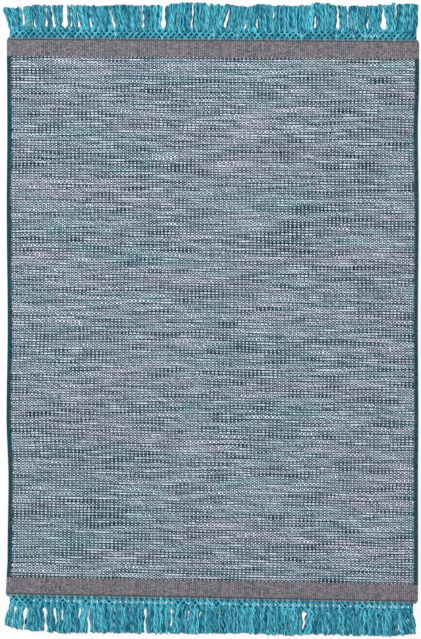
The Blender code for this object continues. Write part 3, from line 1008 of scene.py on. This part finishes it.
# Soft cotton cord: quite matt, light on the back of each ply and dark in the groove between them.
fringe_cotton, tree, shader = start_material(
    "two-ply cotton cord, teal", 0.95, Specular_IOR_Level=0.0
)
bake_map = add_node(tree, "ShaderNodeUVMap", uv_map="OFBake")
cord_place = add_node(
    tree, "ShaderNodeMapping", {"Vector": bake_map, "Scale": (CORDS, LONGEST_CORD / PLY_TWIST, 0.0)}
)
# One twist holds this many changes of shade along a cord, and one cord's are this far from the next's.
SHADES_PER_TWIST = 1.3
CORD_STEP = 7.31
cord_axes = add_node(tree, "ShaderNodeSeparateXYZ", {0: cord_place}).node
cord_number = add_node(tree, "ShaderNodeMath", {0: cord_axes.outputs["X"]}, operation="FLOOR")
cord_shade = add_node(tree, "ShaderNodeTexWhiteNoise", {"W": cord_number}, noise_dimensions="1D")
fade_start = add_node(tree, "ShaderNodeMath", {0: cord_shade, 1: CORD_STEP}, operation="MULTIPLY")
fade_run = add_node(
    tree,
    "ShaderNodeMath",
    {0: cord_axes.outputs["Y"], 1: SHADES_PER_TWIST, 2: fade_start},
    operation="MULTIPLY_ADD",
)
fade_line = add_node(tree, "ShaderNodeMath", {0: cord_number, 1: CORD_STEP}, operation="MULTIPLY")
fade_place = add_node(tree, "ShaderNodeCombineXYZ", {"X": fade_line, "Y": fade_run})
fade = add_node(tree, "ShaderNodeTexNoise", {"Vector": fade_place, "Scale": 1.0}, noise_dimensions="2D")
fade_share = add_node(tree, "ShaderNodeMapRange", {0: fade, 1: 0.3, 2: 0.7, 3: -0.05, 4: 0.50})
light_share = add_node(
    tree, "ShaderNodeMath", {0: cord_shade, 1: 0.7, 2: fade_share}, operation="MULTIPLY_ADD"
)
teal = add_node(
    tree,
    "ShaderNodeMix",
    {"Factor": light_share, 6: linear("#005E7E"), 7: linear("#72E2F4")},
    output=2,
    data_type="RGBA",
)
# The groove between the two plies goes round twice in a twist, and lies in shade.
past_twist = add_node(
    tree,
    "ShaderNodeMath",
    {0: cord_axes.outputs["X"], 1: cord_axes.outputs["Y"]},
    operation="SUBTRACT",
)
number_squared = add_node(
    tree, "ShaderNodeMath", {0: cord_number, 1: cord_number}, operation="MULTIPLY"
)
past_twist = add_node(
    tree,
    "ShaderNodeMath",
    {0: number_squared, 1: -TURN_STEP, 2: past_twist},
    operation="MULTIPLY_ADD",
)
ply_turn = add_node(tree, "ShaderNodeMath", {0: past_twist, 1: 2.0}, operation="MULTIPLY")
off_groove = add_node(tree, "ShaderNodeMath", {0: ply_turn, 1: 0.5}, operation="PINGPONG")
in_groove = add_node(
    tree,
    "ShaderNodeMapRange",
    {0: off_groove, 1: 0.20, 2: 0.5, 3: 0.0, 4: 0.8},
    interpolation_type="SMOOTHSTEP",
)
teal = add_node(
    tree,
    "ShaderNodeMix",
    {"Factor": in_groove, 6: teal, 7: linear("#044A66")},
    output=2,
    data_type="RGBA",
)
# Through the heading the cords are made lighter. Low ones, deep among others, get painted shade.
heading_lightening = add_node(
    tree,
    "ShaderNodeMapRange",
    {
        0: cord_axes.outputs["Y"],
        1: TAUT_LENGTH / PLY_TWIST,
        2: (TAUT_LENGTH + SWELL_LENGTH) / PLY_TWIST,
        3: 1.20,
        4: 1.0,
    },
)
teal = add_node(tree, "ShaderNodeVectorMath", {0: teal, "Scale": heading_lightening}, operation="SCALE")
place = add_node(tree, "ShaderNodeTexCoord", output="Object")
height = add_node(tree, "ShaderNodeSeparateXYZ", {0: place}, output="Z")
# Painted shade: the nearer a cord's surface lies to the floor, the darker it is painted.
painted_depth_shade = add_node(
    tree, "ShaderNodeMapRange", {0: height, 1: 0.0015, 2: 0.0038, 3: 0.92, 4: 0.0}
)
teal = add_node(
    tree, "ShaderNodeMix", {"Factor": painted_depth_shade, 6: teal, 7: linear("#033F58")}, output=2, data_type="RGBA"
)
tree.links.new(teal, shader.inputs["Base Color"])
fibre_place = add_node(
    tree, "ShaderNodeCombineXYZ", {"X": ply_turn, "Y": cord_axes.outputs["Y"], "Z": cord_number}
)
fibres = add_node(tree, "ShaderNodeTexNoise", {"Vector": fibre_place, "Scale": 5.0, "Detail": 2.0})
surface = add_node(
    tree, "ShaderNodeBump", {"Height": fibres, "Strength": 0.5, "Distance": 0.0003}
)
tree.links.new(surface, shader.inputs["Normal"])


def leg_edges(gaps, leg_pitch, level, share):
    """Both edges of each hanging leg, from the left side, where it is clumped (1) or at its tip (2)."""
    limits = []
    for at_root, at_tip, *widths in gaps:
        centre = at_root + (at_tip - at_root) * share
        width = max(widths[level - 1], LEG_CLEARANCE)
        if width > GAP_SPARE / 2:
            width += GAP_SPARE
        first_leg = round((at_root - HEADING_LEFT_INSET) / leg_pitch)
        limits.append((first_leg, centre, width))
    edges = []
    for (first, left, left_width), (after, right, right_width) in zip(limits, limits[1:]):
        low = left + left_width / 2
        step = (right - right_width / 2 - low + LEG_CLEARANCE) / (after - first)
        for number in range(after - first):
            edges.append((low + number * step, low + (number + 1) * step - LEG_CLEARANCE))
    return edges


def smooth_route(rows):
    """Points on a smooth curve through the rows' points, with each row's number of steps up to it."""
    points = [point for point, _ in rows]
    route = [points[0]]
    for number in range(1, len(rows)):
        before = points[max(number - 2, 0)]
        start = points[number - 1]
        end = points[number]
        after = points[min(number + 1, len(points) - 1)]
        steps = rows[number][1]
        for step in range(1, steps + 1):
            t = step / steps
            route.append(
                0.5
                * (
                    2 * start
                    + (end - before) * t
                    + (2 * before - 5 * start + 4 * end - after) * t**2
                    + (3 * start - before - 3 * end + after) * t**3
                )
            )
    return route


def cord_routes(is_top, heading_width, gaps, reach):
    """Each cord's route: out of the groove, over the lip, through the heading and out to its tip."""
    draw = random.Random(11 + is_top)
    outwards = 1 if is_top else -1
    wave = TOP_WAVE if is_top else BOTTOM_WAVE
    open_loops = TOP_OPEN if is_top else BOTTOM_OPEN
    leg_pitch = heading_width / LEGS
    left = -RUG_WIDTH / 2 + HEADING_LEFT_INSET
    right = left + heading_width
    clump_edges = leg_edges(gaps, leg_pitch, 1, CLUMP_SHARE)
    tip_edges = leg_edges(gaps, leg_pitch, 2, 1.0)

    legs = []
    for loop in range(LOOPS):
        for side in (-1, 1):
            loop_x = left + (2 * loop + 0.5) * leg_pitch
            legs.append((loop_x + side * LEG_ROWS[-1][1] * 2 * leg_pitch, loop_x, side))
    legs.sort()

    routes = []
    for leg, (_, crossing_x, side) in enumerate(legs):
        root_x = left + (leg + 0.5) * leg_pitch
        loop_x = left + (leg // 2 * 2 + 0.5) * leg_pitch
        is_open = leg % 2 == 0 and draw.random() < read_table(open_loops, 1, loop_x + RUG_WIDTH / 2)
        free_length = read_table(reach, 1, root_x + RUG_WIDTH / 2) - ROOT_DISTANCE
        leg_length = draw.uniform(1 - LENGTH_STRAY, 1 + LENGTH_STRAY)
        leg_turn = draw.uniform(0, 2 * math.pi)
        for cord in range(CORDS_PER_LEG):
            beside = cord - 1
            rows = []
            if beside:
                for distance, sideways, over, under, across, along, steps in LEG_ROWS:
                    x = crossing_x + side * sideways * 2 * leg_pitch
                    x = right - abs(right - left - abs(x - left))
                    if distance == ROOT_DISTANCE:
                        x = root_x
                    y = end_line(is_top, x) + outwards * (distance - side * beside * along)
                    height = over if side > 0 else under
                    rows.append((Vector((x + beside * across, y, height)), steps))
            else:
                for distance, share, sideways, height, steps in MIDDLE_ROWS:
                    x = loop_x + (root_x - loop_x) * share
                    if is_open:
                        x = loop_x + sideways * 2 * leg_pitch
                        height = (height + UPPER_HEIGHT) / 2
                    y = end_line(is_top, x) + outwards * distance
                    rows.append((Vector((x, y, height)), steps))
            tip_share = leg_length * (1 + draw.uniform(-LENGTH_STRAY, LENGTH_STRAY))
            wave_turn = leg_turn + draw.uniform(-WAVE_STRAY, WAVE_STRAY)
            wave_length = draw.uniform(*WAVE_LENGTHS)
            middle_height = UPPER_HEIGHT if draw.random() < HIGH_SHARE else LOWER_HEIGHT
            for row in range(1, HANGING_ROWS + 1):
                share = row / HANGING_ROWS
                low = left + leg * leg_pitch
                high = low + leg_pitch
                clump_low, clump_high = (edge - RUG_WIDTH / 2 for edge in clump_edges[leg])
                tip_low, tip_high = (edge - RUG_WIDTH / 2 for edge in tip_edges[leg])
                drawn = min(share / CLUMP_SHARE, 1.0)
                onwards = max(share - CLUMP_SHARE, 0.0) / (1 - CLUMP_SHARE)
                low += (clump_low - low) * drawn + (tip_low - clump_low) * onwards
                high += (clump_high - high) * drawn + (tip_high - clump_high) * onwards
                x = low + (high - low) * (cord + 0.5) / CORDS_PER_LEG
                x += wave * math.sin(wave_turn + share / wave_length * 2 * math.pi)
                x += draw.uniform(-KINK, KINK)
                z = middle_height + draw.uniform(-HEIGHT_STRAY, HEIGHT_STRAY)
                y = end_line(is_top, x)
                y += outwards * (ROOT_DISTANCE + free_length * share * tip_share)
                rows.append((Vector((x, y, max(z, LOWEST_HEIGHT))), STEPS_PER_ROW))
            routes.append(smooth_route(rows))
    return routes


def add_fringe(name, node, is_top, heading_width, gaps, reach):
    """One end's cords in one mesh, each a closed tube with the two plies' twist in its shape."""
    routes = cord_routes(is_top, heading_width, gaps, reach)
    rings = len(routes[0])
    stride = CORD_SIDES + 1
    bm, column_of, row_of = numbered_grid(CORDS * stride - 1, rings - 1)
    uv = bm.loops.layers.uv.active
    between = []
    for face in bm.faces:
        if min(corner.vert[column_of] for corner in face.loops) % stride == CORD_SIDES:
            between.append(face)
    bmesh.ops.delete(bm, geom=between, context="FACES")
    turns = []
    for route in routes:
        run = 0.0
        lengths = [0.0]
        for start, end in zip(route, route[1:]):
            run += (end - start).length
            lengths.append(run)
        turns.append(lengths)
    draw = random.Random(17 + is_top)
    thickness = [draw.uniform(1 - THICKNESS_STRAY, 1 + THICKNESS_STRAY) for _ in range(CORDS)]
    for face in bm.faces:
        for corner in face.loops:
            cord, side = divmod(corner.vert[column_of], stride)
            run = turns[cord][corner.vert[row_of]]
            corner[uv].uv = ((cord + side / CORD_SIDES) / CORDS, run / LONGEST_CORD)
    seam = []
    for point in bm.verts:
        cord, side = divmod(point[column_of], stride)
        row = point[row_of]
        if side in (0, CORD_SIDES):
            seam.append(point)
        route = routes[cord]
        ahead = route[min(row + 1, rings - 1)] - route[max(row - 1, 0)]
        ahead.normalize()
        across = ahead.cross(Vector((0, 0, 1))).normalized()
        up = across.cross(ahead)
        angle = 2 * math.pi * (side % CORD_SIDES) / CORD_SIDES
        twist = 2 * math.pi * (turns[cord][row] / PLY_TWIST + cord * cord * TURN_STEP)
        swelling = min(max((turns[cord][row] - TAUT_LENGTH) / SWELL_LENGTH, 0.0), 1.0)
        radius = (TIGHT_RADIUS + (CORD_RADIUS - TIGHT_RADIUS) * swelling) * thickness[cord]
        radius *= 1 + PLY_DEPTH * math.cos(2 * (angle - twist))
        sideways = radius
        if cord % CORDS_PER_LEG == 1 and turns[cord][row] > FLAT_START:
            sideways += (FILL_RADIUS - radius) * (1 - swelling)
        if route[-1].z < (UPPER_HEIGHT + LOWER_HEIGHT) / 2:
            sideways *= 1 + (LOW_SPREAD - 1) * swelling
        place = route[row] + math.cos(angle) * sideways * across + math.sin(angle) * radius * up
        point.co = (MIDDLE_X + place.x, MIDDLE_Y + place.y, max(place.z, 0.0))
    close_tubes(bm, seam, CORD_SIDES)
    fringe = finish_mesh(name, bm, fringe_cotton, 70)
    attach(fringe, "root")
    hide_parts(node)
    return fringe


fringes = [
    add_fringe("cords_top", "fringe_top", True, TOP_HEADING_WIDTH, TOP_GAPS, TOP_REACH),
    add_fringe("cords_bottom", "fringe_bottom", False, BOTTOM_HEADING_WIDTH, BOTTOM_GAPS, BOTTOM_REACH),
]
